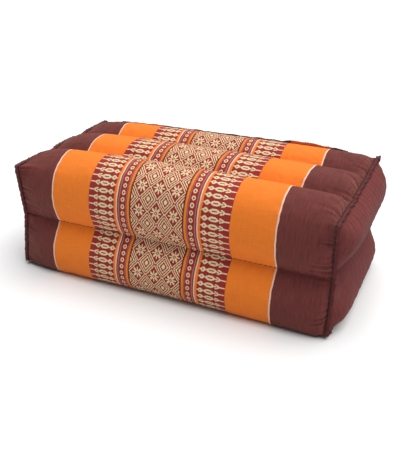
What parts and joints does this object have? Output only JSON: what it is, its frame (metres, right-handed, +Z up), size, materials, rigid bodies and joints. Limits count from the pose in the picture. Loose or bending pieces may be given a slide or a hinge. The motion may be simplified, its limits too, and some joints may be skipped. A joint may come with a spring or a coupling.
{
  "type": "meditation cushion",
  "caption": "Block-shaped meditation cushion of firm padded tubes in a striped, patterned woven wrap, with plain end panels and raised end seams.",
  "frame": {"origin": "on the floor under the middle of the cushion", "axes": "+X along the padded tubes and the length, +Y towards the back, where the closing seam is, +Z up"},
  "size_m": [0.3732, 0.1952, 0.1317],
  "materials": {
    "wrap": "matte woven cotton with orange, red, cream and dark red stripes",
    "panel": "matte plain cotton, dark red",
    "seam": "matte overlocked cotton edge"
  },
  "bodies": {
    "root": {"cushion": "wrap", "end_panel_left": "panel", "end_panel_right": "panel", "seam_left": "seam", "seam_right": "seam", "seam_back": "seam"}
  },
  "joints": []
}
